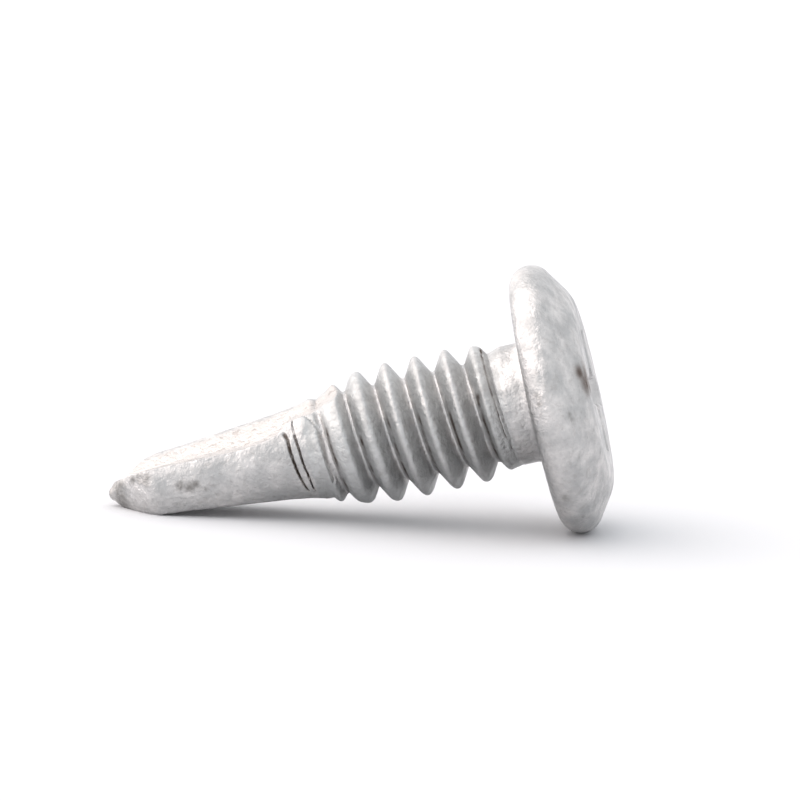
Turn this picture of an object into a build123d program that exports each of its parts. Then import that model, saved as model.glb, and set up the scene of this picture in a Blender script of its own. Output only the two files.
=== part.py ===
from build123d import *
import os
from math import cos, degrees, floor, radians, sin, sqrt, tan

# Self drilling screw with a flat wafer head, a fine right-hand thread and a forged two-flute
# drill point. It lies on its drill point and the rim of its head, with the head towards +X.
# Millimetres, +Z up. The screw is built upright on +Z with its tip at the origin, one drill
# lip towards -X and the flutes along X, and is laid down last.

# Overall
under_head_length = 15.1  # tip to bearing face

# Head
head_diameter = 9.4
head_height = 2.08
head_offset = 0.1  # of the forged head from the shank's axis, towards -Y
rim_roundness = 0.97  # share of the rim's height taken by its two roundings
top_bevel_angle = 34.0  # from the top face
top_bevel_width = 1.42  # along the radius
top_rounding = 1.5
under_head_fillet = 0.35

# Cross recess for the driver
recess_span = 4.25
recess_wing_width = 0.92
recess_wing_depth = 1.15
recess_foot_span = 2.3  # across the wings at their lower end
recess_foot_width = 0.62
recess_core_diameter = 1.9  # of the tapered middle, at the top
recess_foot_diameter = 1.15  # of the tapered middle, at the foot of the wings
recess_depth = 1.6  # to the end of the middle's cone

# Shank and thread
thread_diameter = 4.77
thread_pitch = 1.058  # 24 turns to the inch
thread_flank_angle = 30.0  # of each flank, from the radius
thread_root_width = 0.03  # between neighbouring turns, where they meet the core
crest_rounding = 0.16
thread_lead = 0.56  # of the helix's start, on the +X side, ahead of the drill's end
lead_in_turns = 3
lead_in_depth = 0.245  # of the crests where the thread starts, below full height
least_run_out_turns = 1.9
run_out_length = 1.9
thread_stop = 0.128  # from the end of the helix to the neck
neck_depth = 0.305  # from the crests down to the plain neck
neck_length = 0.8  # plain shank under the head

# Drill point
drill_diameter = 3.6
drill_length = 7.4  # tip to where the thread begins
point_angle = 100.0
nose_rounding = 0.14
shoulder_rounding = 0.7
web_thickness = 1.0
web_tip_thickness = 0.68
web_thinning_length = 1.15  # from the tip, where the web thins
flute_gap = 1.05  # from the rounded end of the flutes to the drill's end
flute_end_rise = 0.22  # of the cutting face, over its last stretch
flute_end_rise_length = 1.3
flute_heel = 0.875  # height of the pinched heel over the axis, at the tip
pinch_angle = 6.1  # slope of the pinched heels
flute_wall_angle = 33.0
heel_width = 0.35
heel_angle = 17.0
flute_rounding = 0.3
flute_end_length = 0.4
flute_shelf = 1.12  # height of the shallow shelf past the end of a flute
flute_shelf_length = 0.8
flute_run_out = 0.95  # past the shelf, up through the first threads
start_groove_depth = 0.1
start_groove_width = 0.14
start_groove_spacing = 0.27

# What follows from them
head_radius = head_diameter / 2
thread_radius = thread_diameter / 2
flank_slope = radians(thread_flank_angle)
crest_edge = thread_radius - crest_rounding * (1 - sin(flank_slope))
crest_half = crest_rounding * cos(flank_slope)
root_half = (thread_pitch - thread_root_width) / 2
root_radius = crest_edge - (root_half - crest_half) / tan(flank_slope)
core_radius = root_radius + crest_rounding / 2  # the turns are sunk a little into the core
neck_radius = thread_radius - neck_depth
drill_radius = drill_diameter / 2
flute_length = drill_length - flute_gap
web = web_thickness / 2
web_tip = web_tip_thickness / 2
head_top = under_head_length + head_height
head_flat_radius = head_radius - top_bevel_width
bevel_foot = head_top - top_bevel_width * tan(radians(top_bevel_angle))
rim_height = bevel_foot - under_head_length
rim_rounding = rim_roundness * rim_height / (1 + tan(radians(90 - top_bevel_angle) / 2))
neck_start = under_head_length - neck_length
thread_begin = drill_length - thread_lead
core_start = drill_length + thread_pitch / 2 if core_radius < drill_radius else thread_begin
half_point = radians(point_angle / 2)
nose_edge = (nose_rounding * cos(half_point), nose_rounding * (1 - sin(half_point)))
shoulder_height = nose_edge[1] + (drill_radius - nose_edge[0]) / tan(half_point)

# The blank before threading is a turned shank and a turned head, a little off its axis
shoulder = (drill_radius, shoulder_height)
rim_foot = (head_radius, under_head_length)
rim_top = (head_radius, bevel_foot)
flat_corner = (head_flat_radius, head_top)
with BuildPart() as head:
    with BuildSketch(Plane.XZ) as outline:
        with BuildLine():
            Polyline(
                (0, under_head_length), rim_foot, rim_top, flat_corner, (0, head_top), close=True
            )
        make_face()
        for corner, rounding in (
            (rim_foot, rim_rounding),
            (rim_top, rim_rounding),
            (flat_corner, top_rounding),
        ):
            fillet(outline.vertices().sort_by_distance((*corner, 0))[0], rounding)
    revolve(axis=Axis.Z)
with BuildPart() as blank:
    with BuildSketch(Plane.XZ) as outline:
        with BuildLine():
            TangentArc((0, 0), nose_edge, tangent=(1, 0))
            Polyline(
                nose_edge,
                shoulder,
                (drill_radius, core_start - thread_pitch / 2),
                (core_radius, core_start),
                (core_radius, neck_start - thread_pitch),
                (neck_radius, neck_start),
                (neck_radius, under_head_length),
                (0, under_head_length),
                (0, 0),
            )
        make_face()
        fillet(outline.vertices().sort_by_distance((*shoulder, 0))[0], shoulder_rounding)
    revolve(axis=Axis.Z)
    with Locations((0, -head_offset, 0)):
        add(head.part)
    bearing_edges = blank.edges().filter_by(GeomType.CIRCLE)
    bearing_edges = bearing_edges.filter_by_position(
        Axis.Z, under_head_length, under_head_length
    )
    fillet(bearing_edges.sort_by(SortBy.RADIUS)[0], under_head_fillet)


# The thread is wound in three stretches, each starting where the last one ends: a lead-in
# trimmed by a cone, a full stretch in whole turns and a run-out trimmed by a second cone
full_start = thread_begin + lead_in_turns * thread_pitch
turns_left = (neck_start - thread_stop - full_start) / thread_pitch
full_turns = floor(turns_left - least_run_out_turns)
run_out_start = full_start + full_turns * thread_pitch


def thread_stretch(start, turns):
    """A ridge of the thread, wound from the height start on the +X side."""
    with BuildPart() as ridge:
        with BuildLine() as path:
            Helix(thread_pitch, thread_pitch * turns, core_radius, center=(0, 0, start))
        with BuildSketch(Plane.XZ):
            with BuildLine():
                Polyline(
                    (crest_edge, start - crest_half),
                    (root_radius, start - root_half),
                    (root_radius, start + root_half),
                    (crest_edge, start + crest_half),
                )
                ThreePointArc(
                    (crest_edge, start + crest_half),
                    (thread_radius, start),
                    (crest_edge, start - crest_half),
                )
            make_face()
        sweep(path=path.wires()[0], is_frenet=True)
    return ridge.part


def turned(*corners):
    """A body of revolution between the axis and a line through (radius, height) corners."""
    with BuildPart() as body:
        with BuildSketch(Plane.XZ):
            with BuildLine():
                Polyline((0, corners[0][1]), *corners, (0, corners[-1][1]), close=True)
            make_face()
        revolve(axis=Axis.Z)
    return body.part


with BuildPart() as lead_in:
    add(thread_stretch(thread_begin, lead_in_turns))
    add(
        turned(
            (core_radius - 0.24, drill_length - 0.5),
            (thread_radius - lead_in_depth, drill_length + 0.7),
            (thread_radius + 0.01, drill_length + 3.5),
        ),
        mode=Mode.INTERSECT,
    )
with BuildPart() as run_out:
    add(thread_stretch(run_out_start, turns_left - full_turns))
    add(
        turned(
            (thread_radius + 0.1, run_out_start - thread_pitch),
            (thread_radius + 0.1, neck_start - run_out_length),
            (neck_radius - 0.08, neck_start + 0.1),
        ),
        mode=Mode.INTERSECT,
    )


# The flutes are cut by one lofted cutter and its copy half a turn round. The cutter follows
# the pinched heel, ends in a rounded step and runs out over the first threads
def heel_height(height):
    return flute_heel + height * tan(radians(pinch_angle))


def flute_section(height, face, heel):
    """Section of the cutter over a cutting face, its heel met by the land."""
    land = sqrt(max(drill_radius**2 - heel**2, heel_width**2))
    knee = (land - heel_width, heel - heel_width * tan(radians(heel_angle)))
    foot = (knee[0] - (knee[1] - face) / tan(radians(flute_wall_angle)), face)
    reach = drill_diameter
    side = (reach, knee[1] + (reach - knee[0]) * tan(radians(heel_angle)))
    with BuildSketch(Plane.XY.offset(height)) as section:
        with BuildLine():
            Polyline(
                (-reach, face), foot, knee, side, (reach, reach), (-reach, reach), close=True
            )
        make_face()
        for corner in (foot, knee):
            corner_rounding = min(flute_rounding, (knee[1] - face) / 3)
            fillet(section.vertices().sort_by_distance((*corner, 0))[0], corner_rounding)
    return section.sketch


rise_start = flute_length - flute_end_rise_length
shelf_start = flute_length + flute_end_length
shelf_end = shelf_start + flute_shelf_length
with BuildPart() as flute:
    loft(
        [
            flute_section(-nose_rounding, web_tip, heel_height(-nose_rounding)),
            flute_section(web_thinning_length, web, heel_height(web_thinning_length)),
            flute_section(rise_start, web, heel_height(rise_start)),
            flute_section(flute_length, web + flute_end_rise, heel_height(flute_length)),
            flute_section(shelf_start, flute_shelf, heel_height(shelf_start)),
            flute_section(shelf_end, flute_shelf + 0.08, drill_radius),
            flute_section(
                shelf_end + flute_run_out, thread_radius - 0.35, thread_radius - 0.1
            ),
        ],
        ruled=True,
    )


groove_start = thread_begin - 0.42 * thread_pitch


def start_groove(start):
    """One turn of a shallow groove pressed into the lands ahead of the thread."""
    with BuildPart() as groove:
        with BuildLine() as path:
            Helix(thread_pitch, thread_pitch, drill_radius, center=(0, 0, start))
        with BuildSketch(Plane.XZ):
            with BuildLine():
                Polyline(
                    (drill_radius - start_groove_depth, start),
                    (drill_radius + start_groove_depth, start + start_groove_width),
                    (drill_radius + start_groove_depth, start - start_groove_width),
                    close=True,
                )
            make_face()
        sweep(path=path.wires()[0], is_frenet=True)
    return groove.part


# The recess: two crossed tapered wings round a tapered middle
wing_foot = head_top - recess_wing_depth
with BuildPart() as wing:
    with BuildSketch(Plane.XY.offset(wing_foot)):
        Rectangle(recess_foot_span, recess_foot_width)
    with BuildSketch(Plane.XY.offset(head_top)):
        Rectangle(recess_span, recess_wing_width)
    loft()
recess_middle = turned(
    (0.05, head_top - recess_depth),
    (recess_foot_diameter / 2, wing_foot),
    (recess_core_diameter / 2, head_top),
)

with BuildPart() as upright:
    add(blank.part)
    add(thread_stretch(full_start, full_turns))
    add(lead_in.part)
    add(run_out.part)
    add(flute.part, mode=Mode.SUBTRACT)
    add(flute.part, rotation=(0, 0, 180), mode=Mode.SUBTRACT)
    add(start_groove(groove_start), mode=Mode.SUBTRACT)
    add(start_groove(groove_start - start_groove_spacing), mode=Mode.SUBTRACT)
    with Locations((0, -head_offset, 0)):
        add(wing.part, mode=Mode.SUBTRACT)
        add(wing.part, rotation=(0, 0, 90), mode=Mode.SUBTRACT)
        add(recess_middle, mode=Mode.SUBTRACT)

# It comes to rest on three places: a drill lip, the heel across from it and the rim of the
# head. The edges of the drill give the first two, and the pose is found by easing it down
drill_edges = upright.edges().filter_by(lambda edge: edge.center().Z < flute_length / 2)
drill_places = [edge.position_at(step / 20) for edge in drill_edges for step in range(21)]


def rise(place):
    """Height over the tip in the present pose."""
    return place.Z * sin(tilt) + (place.Y * cos(roll) - place.X * sin(roll)) * cos(tilt)


def side(place):
    return place.X * cos(roll) + place.Y * sin(roll)


roll, tilt = radians(8), radians(15)
for step in range(40):
    lip = min((place for place in drill_places if side(place) > 0), key=rise)
    heel = min((place for place in drill_places if side(place) < 0), key=rise)
    rim_reach = head_radius - rim_rounding + head_offset * cos(roll)
    rim_rise = (under_head_length + rim_rounding) * sin(tilt) - rim_reach * cos(tilt) - rim_rounding
    roll += (rise(lip) - rise(heel)) / (side(lip) - side(heel)) / 2
    tilt += (min(rise(lip), rise(heel)) - rim_rise) / under_head_length / 2

axis_way = Vector(cos(tilt), 0, sin(tilt))
up_way = Vector(-sin(tilt), 0, cos(tilt))
cross_way = Vector(0, cos(roll), 0) - up_way * sin(roll)
lying = Plane(origin=(0, 0, 0), x_dir=cross_way, z_dir=axis_way).location
box = (lying * upright.part).bounding_box()
resting = Pos(-box.center().X, -box.center().Y, -box.min.Z) * lying
with BuildPart() as screw:
    with Locations(resting):
        add(upright.part)
screw.part.label = "screw"

os.makedirs("parts", exist_ok=True)
export_step(screw.part, "parts/screw.step")
print("roll", round(degrees(roll), 2), "tilt", round(degrees(tilt), 2), "volume", screw.part.volume)
print("valid", screw.part.is_valid, "solids", len(screw.part.solids()))
print("tip", *(round(v, 8) for v in resting.position), "axis", *(round(v, 8) for v in axis_way))
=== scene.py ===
import bpy
import bmesh
from math import atan2, cos, degrees, hypot, pi, radians, sin, sqrt, tan
from mathutils import Matrix, Vector


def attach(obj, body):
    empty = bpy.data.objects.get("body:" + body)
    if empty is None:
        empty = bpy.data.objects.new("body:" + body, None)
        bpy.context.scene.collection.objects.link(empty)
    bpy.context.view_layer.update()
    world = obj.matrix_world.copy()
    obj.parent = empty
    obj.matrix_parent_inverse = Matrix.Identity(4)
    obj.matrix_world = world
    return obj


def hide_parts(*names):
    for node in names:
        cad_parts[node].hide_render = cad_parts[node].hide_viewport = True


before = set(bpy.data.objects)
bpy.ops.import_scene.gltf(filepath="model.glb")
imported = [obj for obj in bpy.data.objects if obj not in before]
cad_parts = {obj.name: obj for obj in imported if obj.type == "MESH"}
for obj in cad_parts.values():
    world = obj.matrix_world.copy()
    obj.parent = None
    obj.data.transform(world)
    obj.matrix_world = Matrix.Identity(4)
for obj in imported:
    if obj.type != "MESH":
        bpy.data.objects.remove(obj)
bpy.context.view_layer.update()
mm = 0.001
weld = 0.0005  # mm, places closer than this are one
far = 9  # mm, past everything here
print("frame loaded")

# the screw is modelled upright in millimetres, tip at the origin and head up, then laid down
lying = {"tip": (-8.68974, 0.01549, 0.3623), "axis": (0.96259859, 0, 0.27093164), "roll": 8.91}


def lyingMatrix():
    axis = Vector(lying["axis"])
    up = Vector((-axis.z, 0, axis.x))
    roll = radians(lying["roll"])
    across = Vector((0, cos(roll), 0)) - up * sin(roll)
    turned = Matrix((across, axis.cross(across), axis)).transposed().to_4x4()
    return Matrix.Scale(mm, 4) @ Matrix.Translation(lying["tip"]) @ turned


def between(table, at):  # straight lines through (place, value) pairs
    if at <= table[0][0]:
        return table[0][1]
    for (a, low), (b, high) in zip(table, table[1:]):
        if at <= b:
            return low + (high - low) * (at - a) / (b - a)
    return table[-1][1]


def softMin(a, b, width):
    gap = max(width - abs(a - b), 0)
    return min(a, b) - gap * gap / (4 * width)


def softMax(a, b, width):
    return -softMin(-a, -b, width)


def fade(low, high, at):  # 0 below low, 1 above high, eased
    share = min(max((at - low) / (high - low), 0), 1)
    return share * share * (3 - 2 * share)


# shank, thread and forged point
shank = {
    "drill": 1.8,  # radius
    "end": 14.75,  # height where the fillet under the head begins
    "outline": [  # radius of the blank over the height
        (0, 0), (0.02, 0.1), (0.05, 0.15), (0.1, 0.2), (0.16, 0.25), (0.3, 0.41),
        (1.1, 1.352), (1.2, 1.45), (1.3, 1.54), (1.4, 1.62), (1.5, 1.687), (1.6, 1.735),
        (1.7, 1.77), (1.85, 1.798), (1.95, 1.8), (7.4, 1.8), (7.6, 1.77), (7.93, 1.735),
        (13.25, 1.735), (14.3, 2.08), (15.1, 2.08),
    ],
    "rows": [  # (from, to, how many)
        (0, 1.7, 42), (1.7, 6.1, 54), (6.1, 7.1, 36), (7.1, 14.3, 150), (14.3, 14.75, 8),
    ],
    "columns": 252,
}
thread = {
    "pitch": 1.058,
    "from": 6.6,  # height where the ridge comes out of the blank
    "begin": 6.84,  # height of the crest on the +X side
    "peak": 2.55,  # where the flanks would meet
    "flank": 30,  # degrees from the radius
    "crests": [  # most that the crests may reach over the height
        (6.9, 1.6), (7.3, 1.76), (7.87, 1.97), (8.32, 2.11), (8.7, 2.22), (9.22, 2.32),
        (9.77, 2.42), (10.3, 2.6), (12.5, 2.6), (12.95, 2.46), (13.45, 2.3), (13.9, 2.13),
        (14.3, 2.05), (14.5, 1.9),
    ],
    "crestRounding": 0.64,
    "runRounding": 0.2,
    "rootRounding": 0.07,
    "rowsTurn": [(6.6, 7.2), (13.9, 14.4)],  # where the mesh begins and stops following it
}
flute = {
    "face": [  # height of the cutting face over the axis
        (-0.14, 0.34), (1.15, 0.5), (5.05, 0.5), (5.7, 0.6), (6.25, 0.73), (6.45, 0.86),
        (6.65, 1.03), (6.85, 1.12), (7.55, 1.2), (7.9, 1.42), (8.45, 1.62), (8.9, 2.2),
        (9.5, 3),
    ],
    "heel": [  # height of the pinched heel over the axis
        (-0.14, 0.86), (1.73, 1.09), (2.77, 1.17), (3.47, 1.25), (4.85, 1.39), (6.24, 1.54),
        (6.93, 1.65), (7.5, 1.79), (7.68, 1.74), (8.05, 1.9), (8.3, 2.2), (8.6, 2.4),
        (9.5, 3),
    ],
    "heelWidth": 0.35,
    "heelSlope": tan(radians(17)),
    "wallSlope": tan(radians(33)),
    "rounding": 0.3,
    "edges": [(7.4, 0.06), (7.9, 0.3)],  # rounding where it meets the blank, over the height
    "to": 9.4,
    "fuller": 0.85,  # how much nearer the middle the lower flute's wall is at the tip
    "fullerEnds": (0.5, 1.4),
}
# dirty seams pressed into the surface, each along (degrees, height) places and widest at the
# first; twins are on both sides
seams = [
    {
        "path": [
            (157, 6.53), (164, 6.61), (176, 6.62), (189, 6.66), (202, 6.71), (222, 6.83),
            (230, 6.9),
        ],
        "depth": 0.07, "half": 0.075, "width": 1.05, "twin": True,
    },
    {
        "path": [
            (161, 6.88), (169, 6.9), (176, 6.93), (194, 6.97), (209, 7.04), (225, 7.08),
            (233, 7.12),
        ],
        "depth": 0.06, "half": 0.06, "width": 0.85, "twin": True,
    },
    {
        "path": [
            (92, 13.66), (115, 13.7), (139, 13.75), (160, 13.81), (180, 13.88), (205, 13.96),
            (226, 14.08),
        ],
        "depth": 0.04, "half": 0.045, "width": 0.6, "twin": False,
    },
]
dents = [  # soft and clean: the outline of the arch and the hollow before the first turn
    {
        "path": [
            (160, 7.71), (155, 7.64), (149, 7.53), (141, 7.36), (134, 7.2), (132, 7.05),
            (137, 6.93), (147, 6.85), (159, 6.87),
        ],
        "depth": 0.06, "half": 0.08, "width": 0.7, "twin": True,
    },
    {
        "path": [(166, 7.73), (186, 7.78), (204, 7.81), (222, 7.85)],
        "depth": 0.08, "half": 0.14, "width": 1, "twin": True,
    },
]
seamRise = 1.2  # mm, more than a seam climbs
seamTaper = (1.3, 0.55)  # shares of its width, first and last
perDegree = 0.0314  # mm round the drill
lumps = [  # where the start of the thread is squeezed out
    {"angle": 150, "height": 7.22, "wide": 17, "tall": 0.38, "rise": 0.1},
    {"angle": 330, "height": 7.22, "wide": 17, "tall": 0.38, "rise": 0.1},
    {"angle": 268, "height": 7.87, "wide": 36, "tall": 0.32, "rise": 0.19},
]


def cutRadius(angle, height, fuller=0):  # how far the forged flute leaves metal, along one ray
    face, heel = between(flute["face"], height), between(flute["heel"], height)
    across = sqrt(max(shank["drill"] ** 2 - heel ** 2, flute["heelWidth"] ** 2))
    kneeAcross = across - flute["heelWidth"]
    kneeAcross -= fuller * (1 - fade(*flute["fullerEnds"], height))
    kneeUp = heel - flute["heelWidth"] * flute["heelSlope"]
    c, s = cos(angle), sin(angle)

    def reach(rise, slope):  # along the ray to a line that crosses the axis at rise
        fall = s - slope * c
        return max(rise, 0) / fall if fall > 0.001 else far

    wall = reach(kneeUp - kneeAcross * flute["wallSlope"], flute["wallSlope"])
    land = reach(kneeUp - kneeAcross * flute["heelSlope"], flute["heelSlope"])
    side = softMin(wall, land, flute["rounding"])
    return softMax(min(reach(face, 0), far), side, flute["rounding"])


def offCrest(angle, height):  # height over the nearest crest, below zero towards the tip
    pitch = thread["pitch"]
    along = height - thread["begin"] - pitch * (angle % (2 * pi)) / (2 * pi)
    return (along + pitch / 2) % pitch - pitch / 2


def threadRadius(angle, height):
    along, steep = offCrest(angle, height), tan(radians(thread["flank"]))
    lower, upper = thread["peak"] - along / steep, thread["peak"] + along / steep
    ridge = softMin(lower, upper, thread["crestRounding"])
    return softMin(ridge, between(thread["crests"], height), thread["runRounding"])


def alongHelix(angle, height):  # a small step up or down, so that the rows follow the crests
    starts, stops = thread["rowsTurn"]
    share = fade(*starts, height) * (1 - fade(*stops, height))
    low, high, rows = shank["rows"][3]  # those along the thread
    rowStep = (high - low) / rows
    return share * rowStep * ((angle / (2 * pi) * thread["pitch"] / rowStep) % 1 - 0.5)


def seamGap(seam, angle, height):  # mm to the path, counted longer towards its thin end
    nearest = far
    if abs(height - seam["path"][0][1]) > seamRise:
        return nearest
    thick, thin = seamTaper
    places = [Vector((place[0] * perDegree, place[1])) for place in seam["path"]]
    for turn in (0, 180) if seam["twin"] else (0,):
        at = Vector(((degrees(angle) + turn) % 360 * perDegree, height))
        for k, (first, second) in enumerate(zip(places, places[1:])):
            step = second - first
            share = min(max((at - first).dot(step) / step.length_squared, 0), 1)
            along = (k + share) / (len(places) - 1)
            wide = seam["width"] * (thick + (thin - thick) * along)
            nearest = min(nearest, (at - first - step * share).length / wide)
    return nearest


def pressed(seam, angle, height):
    return seam["depth"] * (1 - fade(0, seam["half"], seamGap(seam, angle, height)))


def swollen(lump, angle, height):
    across = ((degrees(angle) - lump["angle"] + 180) % 360 - 180) / lump["wide"]
    along = (height - lump["height"]) / lump["tall"]
    return lump["rise"] * (1 - fade(0.1, 1, hypot(across, along)))


def shankRadius(angle, height):
    body = between(shank["outline"], height)
    if height > thread["from"]:
        body = softMax(body, threadRadius(angle, height), thread["rootRounding"])
    for seam in [*seams, *dents]:
        body -= pressed(seam, angle, height)
    if height < flute["to"]:
        edge = between(flute["edges"], height)
        body = softMin(body, cutRadius(angle, height), edge)
        body = softMin(body, cutRadius(angle + pi, height, flute["fuller"]), edge)
    return body + sum(swollen(lump, angle, height) for lump in lumps)


# wafer head with a bevelled top, a little off the axis
head = {
    "offset": 0.1,
    "bearing": 15.1,
    "top": 17.18,
    "radius": 4.698,
    "neck": 2.08,
    "fillet": 0.35,
    "rimRounding": 0.71,
    "bevelWidth": 1.42,
    "bevelAngle": 34,
    "topRounding": 1.5,
    "spacing": 0.16,  # between two rings of the mesh, about
}


def roundedCorner(before, corner, after, radius, steps):
    a, b = (before - corner).normalized(), (after - corner).normalized()
    half = a.angle(b) / 2
    centre = corner + (a + b).normalized() * radius / sin(half)
    start, end = corner + a * radius / tan(half) - centre, corner + b * radius / tan(half) - centre
    sweep = start.angle(end)
    return [
        centre + (start * sin(sweep * (1 - k / steps)) + end * sin(sweep * k / steps)) / sin(sweep)
        for k in range(steps + 1)
    ]


def headOutline():  # (radius, height) places from the neck to the middle of the top
    foot = head["top"] - head["bevelWidth"] * tan(radians(head["bevelAngle"]))
    corners = [
        Vector((head["neck"], shank["end"])),
        Vector((head["neck"], head["bearing"])),
        Vector((head["radius"], head["bearing"])),
        Vector((head["radius"], foot)),
        Vector((head["radius"] - head["bevelWidth"], head["top"])),
        Vector((0, head["top"])),
    ]
    roundings = [
        (head["fillet"], 6), (head["rimRounding"], 12), (head["rimRounding"], 10),
        (head["topRounding"], 12),
    ]
    places = []
    for k, (radius, steps) in enumerate(roundings):
        places += roundedCorner(corners[k], corners[k + 1], corners[k + 2], radius, steps)
    places.append(corners[-1])
    spaced = [places[0]]
    for place in places[1:]:
        start = spaced[-1]
        pieces = max(1, round((place - start).length / head["spacing"]))
        spaced += [start.lerp(place, (k + 1) / pieces) for k in range(pieces)]
    return spaced


def spinLine(bm, places, columns):  # (radius, height) places turned round the axis
    line = [bm.verts.new((radius, 0, height)) for radius, height in places]
    edges = [bm.edges.new(pair) for pair in zip(line, line[1:])]
    bmesh.ops.spin(
        bm, geom=line + edges, cent=(0, 0, 0), axis=(0, 0, 1), dvec=(0, 0, 0),
        angle=2 * pi, steps=columns, use_merge=True,
    )
    bmesh.ops.remove_doubles(bm, verts=bm.verts, dist=weld)


def makeScrew():
    bm = bmesh.new()
    heights = [0]
    for low, high, rows in shank["rows"]:
        heights += [low + (high - low) * (k + 1) / rows for k in range(rows)]
    places = [Vector((between(shank["outline"], h), h)) for h in heights[:-1]] + headOutline()
    spinLine(bm, places, shank["columns"])
    for vert in bm.verts:
        flat = hypot(vert.co.x, vert.co.y)
        if vert.co.z > shank["end"] + weld:
            over = vert.co.z > head["bearing"]
            share = 1 if over else fade(head["neck"], head["neck"] + head["fillet"], flat)
            vert.co.y -= head["offset"] * share
        elif flat > weld:
            angle = atan2(vert.co.y, vert.co.x)
            vert.co.z += alongHelix(angle, vert.co.z)
            radius = shankRadius(angle, vert.co.z)
            vert.co.x, vert.co.y = radius * cos(angle), radius * sin(angle)
    bmesh.ops.recalc_face_normals(bm, faces=bm.faces)
    mesh = bpy.data.meshes.new("zincScrew")
    bm.to_mesh(mesh)
    bm.free()
    piece = bpy.data.objects.new("zincScrew", mesh)
    bpy.context.scene.collection.objects.link(piece)
    return piece


# cross recess: tapered wings with a worn edge, and a tapered middle
recess = {
    "wings": [  # (height under the top, span, width)
        (1.15, 2.3, 0.62), (0.09, 4.1, 0.9), (-0.3, 4.9, 1.7),
    ],
    "middle": [(0, 1.6), (0.575, 1.15), (1.05, -0.3), (0, -0.3)],  # (radius, height under the top)
    "columns": 48,
}


def makeWings(bm):
    rings = []
    for under, span, width in recess["wings"]:
        a, b = span / 2, width / 2
        arm = [Vector(place) for place in ((a, -b), (a, b), (b, b))]
        places = [Matrix.Rotation(turn * pi / 2, 2) @ place for turn in range(4) for place in arm]
        rings.append([bm.verts.new((x, y, head["top"] - under)) for x, y in places])
    for lower, upper in zip(rings, rings[1:]):
        for k in range(len(lower)):
            around = [lower[k], lower[k - 1], upper[k - 1], upper[k]]
            bmesh.ops.contextual_create(bm, geom=around)
    bmesh.ops.contextual_create(bm, geom=rings[0])
    bmesh.ops.contextual_create(bm, geom=rings[-1])


def makeMiddle(bm):
    places = [(radius, head["top"] - under) for radius, under in recess["middle"]]
    spinLine(bm, places, recess["columns"])


def cutRecess(piece):
    bpy.context.view_layer.objects.active = piece
    for name, make in (("wings", makeWings), ("middle", makeMiddle)):
        bm = bmesh.new()
        make(bm)
        bmesh.ops.recalc_face_normals(bm, faces=bm.faces)
        bmesh.ops.translate(bm, verts=bm.verts, vec=(0, -head["offset"], 0))
        cutter = bpy.data.objects.new(name, bpy.data.meshes.new(name))
        bm.to_mesh(cutter.data)
        bm.free()
        bpy.context.scene.collection.objects.link(cutter)
        cut = piece.modifiers.new(name, "BOOLEAN")
        cut.object, cut.operation, cut.solver = cutter, "DIFFERENCE", "MANIFOLD"
        bpy.ops.object.modifier_apply(modifier=name)
        bpy.data.objects.remove(cutter)


# rust by the recess and on the thread, dull smudges, and a broad grey over the whole nose: (x, y,
# z, reach) in mm
rust = [
    (-3.42, 0.55, 17.04, 0.36), (-3.12, 0.16, 17.13, 0.55), (-2.75, 0.45, 17.18, 0.55),
    (-2.45, 0.1, 17.18, 0.45), (-1.91, 0.5, 13.37, 0.16),
]
smudges = [
    (-1.52, 0.31, 1.32, 0.26), (-1.26, 0.28, 1.05, 0.2), (-1.68, 0.2, 1.54, 0.26),
    (-4.63, 0.04, 15.5, 0.22), (-4.63, -0.2, 15.5, 0.16), (-4.31, -0.77, 16.45, 0.14),
    (-4.25, -0.97, 16.47, 0.14), (-3.19, -3.52, 15.61, 0.22), (-2.15, -4.26, 15.99, 0.1),
    (-1.78, -0.26, 2.66, 0.24), (-1.76, -0.36, 2.96, 0.28), (-1.77, -0.31, 3.21, 0.18),
    (-1.71, -0.55, 3.5, 0.1), (-1.72, -0.52, 3.79, 0.08), (-1.65, -0.54, 1.61, 0.07),
    # the last, broad mark greys the whole nose
    (-1.79, 0.14, 4.28, 0.06), (-0.35, 0, 0.45, 0.8),
]
finishNames = ("flank", "seam", "root", "forged", "rust", "smudge")
finish = {  # where each finish lies, in mm
    "seams": (6.3, 14.9), "thread": (7.2, 14.2), "roots": (7.9, 13.6), "forged": 8.8,  # heights
    "crest": (-0.02, 0.28),  # under the sharp crest, where the flank begins
    "foot": (0.38, 0.46),  # off the crest, where the flank ends
    "footStops": (13.8, 14.2),  # heights
    "root": 0.375,  # off the crest, where the dirt-brown painted shade line lies
    "rootShadeFade": (0.1, 1.3),  # across the axis, where the painted shade line in the roots fades out, from the lower half to the upper one under the light
    "lines": {"seam": 0.075, "root": 0.08},  # how far the seam dirt and the painted root shade spread
    "cutDepth": (0.03, 0.1),  # under the blank, where the forged face begins
    "knee": (-0.06, 0.04),  # over the knee, where it ends
    "markEdge": (0.1, 1.2),  # shares of a mark's reach
}


def nearMark(marks, place):
    low, high = finish["markEdge"]
    return max(1 - fade(low, high, (place - Vector(mark[:3])).length / mark[3]) for mark in marks)


def markThread(angle, height, place):  # cover of the flanks, partly painted shade, and gap to the painted shade line in the roots
    radius, along = hypot(place.x, place.y), offCrest(angle, height)
    foot = fade(*finish["foot"], abs(along)) * (1 - fade(*finish["footStops"], height))
    flank = fade(*finish["crest"], thread["peak"] - radius) * (1 - foot)
    if finish["roots"][0] < height < finish["roots"][1]:
        # painted shade: the root line thins and fades out towards the upper half
        shadeFadeGap = finish["lines"]["root"] * fade(*finish["rootShadeFade"], place.y)
        return flank, abs(along + finish["root"]) + shadeFadeGap
    return flank, 1


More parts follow.
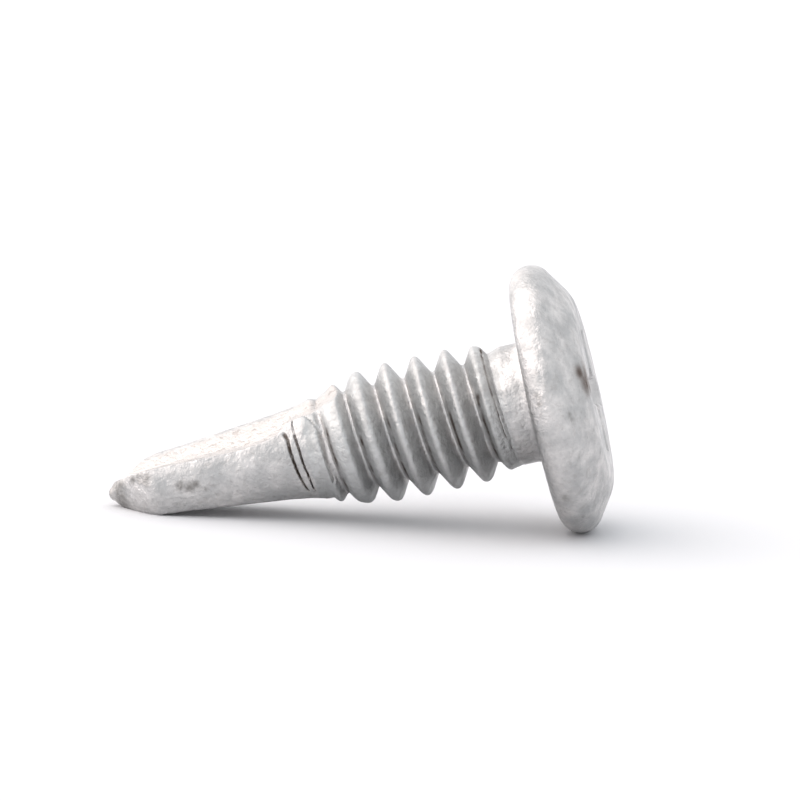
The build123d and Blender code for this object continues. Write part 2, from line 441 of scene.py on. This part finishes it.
def markForged(angle, height, place):  # cover of the forged faces
    blank = between(shank["outline"], height)
    if height > finish["thread"][0]:
        blank = max(blank, threadRadius(angle, height))
    knee = between(flute["heel"], height) - flute["heelWidth"] * flute["heelSlope"]
    low, high = finish["knee"]
    cut = fade(*finish["cutDepth"], blank - hypot(place.x, place.y))
    return cut * (1 - fade(knee + low, knee + high, abs(place.y)))


def markSurface(mesh):  # gaps to the seams and to the painted shade lines in the roots in mm, and how far each finish and painted shade covers
    marks = {name: [] for name in finishNames}
    for vert in mesh.vertices:
        height, angle = vert.co.z, atan2(vert.co.y, vert.co.x)
        flank, seam, root, forged, rusty, dull = 0, 1, 1, 0, 0, 0
        if finish["seams"][0] < height < finish["seams"][1]:
            seam = min(seamGap(each, angle, height) for each in seams)
        if finish["thread"][0] < height < finish["thread"][1]:
            flank, root = markThread(angle, height, vert.co)
        if height < finish["forged"]:
            forged = markForged(angle, height, vert.co)
        if vert.co.x < 0:
            rusty, dull = nearMark(rust, vert.co), nearMark(smudges, vert.co)
        for name, value in zip(finishNames, (flank, seam, root, forged, rusty, dull)):
            marks[name].append(value)
    for name, values in marks.items():
        mesh.attributes.new(name, "FLOAT", "POINT").data.foreach_set("value", values)


piece = makeScrew()
print("screw turned and cut", len(piece.data.polygons), "faces")
cutRecess(piece)
print("recess cut", len(piece.data.polygons), "faces")
markSurface(piece.data)
piece.data.transform(lyingMatrix())
for vert in piece.data.vertices:  # the fuller lower flute, levelled at the floor
    vert.co.z = max(vert.co.z, 0)
piece.data.shade_smooth()
piece.data.set_sharp_from_angle(angle=radians(35))
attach(piece, "root")
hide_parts("screw")


def linear(code):  # sRGB hex to linear colour
    parts = [int(code[k:k + 2], 16) / 255 for k in (1, 3, 5)]
    return tuple(p / 12.92 if p < 0.04045 else ((p + 0.055) / 1.055) ** 2.4 for p in parts) + (1,)


def addNode(tree, kind, links=(), **settings):  # links are (socket, value or output socket)
    node = tree.nodes.new(kind)
    for name, value in settings.items():
        setattr(node, name, value)
    for socket, value in links:
        if isinstance(value, bpy.types.NodeSocket):
            tree.links.new(value, node.inputs[socket])
        else:
            node.inputs[socket].default_value = value
    return node


# hot-dip galvanised steel: a dull pale zinc skin with fine blotches, shinier where it ran thick,
# greyer and duller on the thread flanks, partly as painted shade of the thread, brown where dirt
# sits in the pressed seams, and a dirt-brown painted shade line in the roots of the lower half
zincLook = {
    # flank greys the thread flanks, partly as duller zinc and partly as painted shade; seam also
    # colours the painted shade line in the roots
    "pale": "#d8d6d5", "grey": "#bebebe", "flank": "#c8c9c9", "forged": "#cdcac8",
    "speck": "#8f8882", "seam": "#5f544c", "rust": "#665850", "smudge": "#959391",
    "sizes": {"blotch": 0.9, "patch": 0.4, "grain": 0.16, "spot": 0.25},  # mm
    "roughness": (0.28, 0.5),
    "flankRougher": 0.14,
    "patchRise": 0.016,  # mm
    "grainRise": 0.012,  # mm
}


def makeNoises(tree, place):  # one cloudy pattern for each size
    noises = {}
    for k, (name, size) in enumerate(zincLook["sizes"].items()):
        moved = addNode(
            tree, "ShaderNodeMapping", [("Vector", place), ("Location", (0.01 * k, 0, 0))]
        )
        made = addNode(
            tree, "ShaderNodeTexNoise",
            [
                ("Vector", moved.outputs[0]), ("Scale", 1 / (size * mm)), ("Detail", 3),
                ("Roughness", 0.6),
            ],
        )
        noises[name] = addNode(
            tree, "ShaderNodeMapRange",
            [("Value", made.outputs["Fac"]), ("From Min", 0.38), ("From Max", 0.62)],
        ).outputs["Result"]
    return noises


def makeColour(tree, noises, mark):  # each finish laid over the ones before it
    lines = {}
    for name, reach in finish["lines"].items():
        lines[name] = addNode(
            tree, "ShaderNodeMapRange",
            [
                ("Value", mark[name]), ("From Min", 0.01), ("From Max", reach), ("To Min", 1),
                ("To Max", 0),
            ],
            interpolation_type="SMOOTHSTEP",
        ).outputs["Result"]
    specks = addNode(
        tree, "ShaderNodeMapRange", [("Value", noises["spot"]), ("From Min", 0.9), ("From Max", 1)]
    ).outputs["Result"]
    dirty = addNode(
        tree, "ShaderNodeMapRange", [("Value", mark["forged"]), ("To Min", 0.12), ("To Max", 0.36)]
    ).outputs["Result"]
    uneven = addNode(
        tree, "ShaderNodeMapRange", [("Value", noises["patch"]), ("To Min", 0.4), ("To Max", 1)]
    ).outputs["Result"]
    shares = {"blotch": noises["blotch"], "flank": mark["flank"], "forged": mark["forged"]}
    for name, first, second in (
        ("speck", specks, dirty), ("patch", noises["patch"], 0.45),
        # root: the dirt-brown painted shade line in the roots, broken by the blotches
        ("root", lines["root"], noises["blotch"]), ("seam", lines["seam"], uneven),
        ("rust", mark["rust"], 0.9), ("smudge", mark["smudge"], uneven),
    ):
        both = addNode(tree, "ShaderNodeMath", [(0, first), (1, second)], operation="MULTIPLY")
        shares[name] = both.outputs[0]
    colour = linear(zincLook["grey"])
    # the flank cover is partly painted shade of the thread, and the root line is painted shade in
    # the roots
    for share, name in (
        ("blotch", "pale"), ("flank", "flank"), ("patch", "grey"), ("forged", "forged"),
        ("speck", "speck"), ("smudge", "smudge"), ("rust", "rust"), ("root", "seam"),
        ("seam", "seam"),
    ):
        colour = addNode(
            tree, "ShaderNodeMix",
            [("Factor", shares[share]), (6, colour), (7, linear(zincLook[name]))],
            data_type="RGBA",
        ).outputs[2]
    return colour


def makeZinc():
    zinc = bpy.data.materials.new("zinc_steel")
    zinc.use_nodes = True
    tree = zinc.node_tree
    shader = tree.nodes["Principled BSDF"]
    noises = makeNoises(tree, addNode(tree, "ShaderNodeTexCoord").outputs["Object"])
    mark = {
        name: addNode(tree, "ShaderNodeAttribute", attribute_name=name).outputs["Fac"]
        for name in finishNames
    }
    tree.links.new(makeColour(tree, noises, mark), shader.inputs["Base Color"])
    shader.inputs["Metallic"].default_value = 1
    shiny, dull = zincLook["roughness"]
    rough = addNode(
        tree, "ShaderNodeMapRange",
        [("Value", noises["patch"]), ("To Min", shiny), ("To Max", dull)],
    ).outputs["Result"]
    rougher = addNode(
        tree, "ShaderNodeMath",
        [(0, mark["flank"]), (1, zincLook["flankRougher"]), (2, rough)],
        operation="MULTIPLY_ADD",
    )
    tree.links.new(rougher.outputs[0], shader.inputs["Roughness"])
    patches = addNode(
        tree, "ShaderNodeBump",
        [
            ("Height", noises["patch"]), ("Strength", 0.8),
            ("Distance", zincLook["patchRise"] * mm),
        ],
    )
    grain = addNode(
        tree, "ShaderNodeBump",
        [
            ("Height", noises["grain"]), ("Strength", 0.9),
            ("Distance", zincLook["grainRise"] * mm), ("Normal", patches.outputs["Normal"]),
        ],
    )
    tree.links.new(grain.outputs["Normal"], shader.inputs["Normal"])
    return zinc


piece.data.materials.clear()  # the cut leaves an empty slot
piece.data.materials.append(makeZinc())
print("zinc made")

cameraView = {
    "turn": 2.3043, "height": 8.8077, "roll": 2.7475,  # degrees
    "distance": 334.97, "lens": 437.77, "aim": (1.2005, 0, 4.2216),  # mm
}


def makeCamera(view):
    camera = bpy.data.objects.new("camera", bpy.data.cameras.new("camera"))
    bpy.context.scene.collection.objects.link(camera)
    bpy.context.scene.camera = camera
    turn, height = radians(view["turn"]), radians(view["height"])
    back = Vector((sin(turn) * cos(height), -cos(turn) * cos(height), sin(height)))
    camera.location = (Vector(view["aim"]) + back * view["distance"]) * mm
    level = back.to_track_quat("Z", "Y")
    facing = level @ Matrix.Rotation(radians(view["roll"]), 3, "Z").to_quaternion()
    camera.rotation_euler = facing.to_euler()
    camera.data.lens = view["lens"]
    camera.data.clip_start = 0.001


makeCamera(cameraView)

# a pale matt paper floor
paperLook = {"colour": "#dedfe1", "roughness": 0.9, "size": 2.0}
floorMesh = bpy.data.meshes.new("floor")
bm = bmesh.new()
bmesh.ops.create_grid(bm, x_segments=1, y_segments=1, size=paperLook["size"])
bm.to_mesh(floorMesh)
bm.free()
floor = bpy.data.objects.new("floor", floorMesh)
bpy.context.scene.collection.objects.link(floor)
paper = bpy.data.materials.new("paper")
paper.use_nodes = True
paperShader = paper.node_tree.nodes["Principled BSDF"]
paperShader.inputs["Base Color"].default_value = linear(paperLook["colour"])
paperShader.inputs["Roughness"].default_value = paperLook["roughness"]
floorMesh.materials.append(paper)

bpy.context.scene.view_settings.view_transform = "Standard"
bpy.context.scene.view_settings.gamma = 0.8


# a pale room with a sharp soft box on the left and a broad one high behind
studio = {
    "room": 1.1,
    "boxes": [
        {"toward": (-0.88, -0.05, 0.47), "from": 0.42, "to": 0.75, "adds": 0.86},
        {"toward": (-0.5, 0.6, 0.62), "from": 0.3, "to": 0.95, "adds": 0.24},
    ],
    "brightest": 2,
    "roomColour": "#fcfdff", "boxColour": "#fffaf8",
}


def makeStudio():
    world = bpy.data.worlds.new("studio")
    bpy.context.scene.world = world
    world.use_nodes = True
    tree = world.node_tree
    way = addNode(tree, "ShaderNodeTexCoord").outputs["Generated"]
    strength = studio["room"]
    for box in studio["boxes"]:
        toward = addNode(
            tree, "ShaderNodeVectorMath", [(0, way), (1, box["toward"])], operation="DOT_PRODUCT"
        )
        share = addNode(
            tree, "ShaderNodeMapRange",
            [
                ("Value", toward.outputs["Value"]), ("From Min", box["from"]),
                ("From Max", box["to"]), ("To Max", box["adds"]),
            ],
            interpolation_type="SMOOTHSTEP",
        ).outputs["Result"]
        added = addNode(tree, "ShaderNodeMath", [(0, strength), (1, share)], operation="ADD")
        strength = added.outputs[0]
    warmth = addNode(
        tree, "ShaderNodeMapRange",
        [
            ("Value", strength), ("From Min", studio["room"]),
            ("From Max", studio["brightest"]),
        ],
    ).outputs["Result"]
    colour = addNode(
        tree, "ShaderNodeMix",
        [
            ("Factor", warmth), (6, linear(studio["roomColour"])),
            (7, linear(studio["boxColour"])),
        ],
        data_type="RGBA",
    )
    tree.links.new(strength, tree.nodes["Background"].inputs["Strength"])
    tree.links.new(colour.outputs[2], tree.nodes["Background"].inputs["Color"])


makeStudio()
